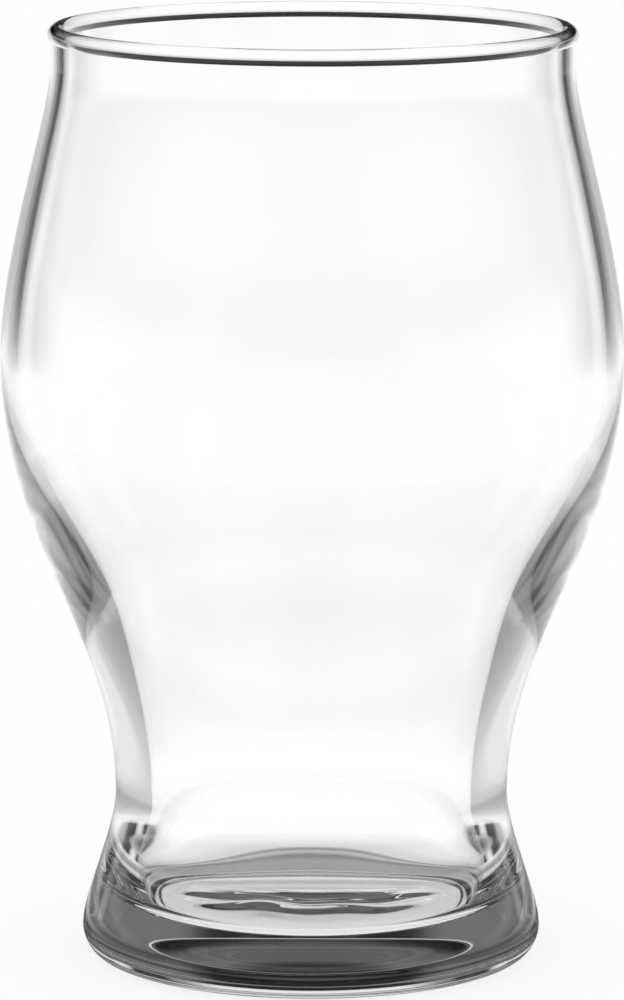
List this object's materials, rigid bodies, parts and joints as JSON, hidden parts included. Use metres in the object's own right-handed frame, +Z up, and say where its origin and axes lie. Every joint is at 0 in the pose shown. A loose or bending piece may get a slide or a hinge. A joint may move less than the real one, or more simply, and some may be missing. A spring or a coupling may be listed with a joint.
{
  "type": "tasting glass",
  "caption": "Small clear tulip-shaped drinking glass with a beaded rim, a round bowl narrowing to a thick waist, and a flared solid foot.",
  "frame": {"origin": "on the table, in the middle of the ring that the glass stands on", "axes": "+Z up along the glass's axis of revolution; X and Y are free, because the glass is round"},
  "size_m": [0.061, 0.061, 0.092],
  "materials": {
    "clear_glass": "clear, fire-polished"
  },
  "bodies": {
    "root": {"rim_bead": "clear_glass", "bowl": "clear_glass", "foot": "clear_glass", "sham_base": "clear_glass"}
  },
  "joints": []
}
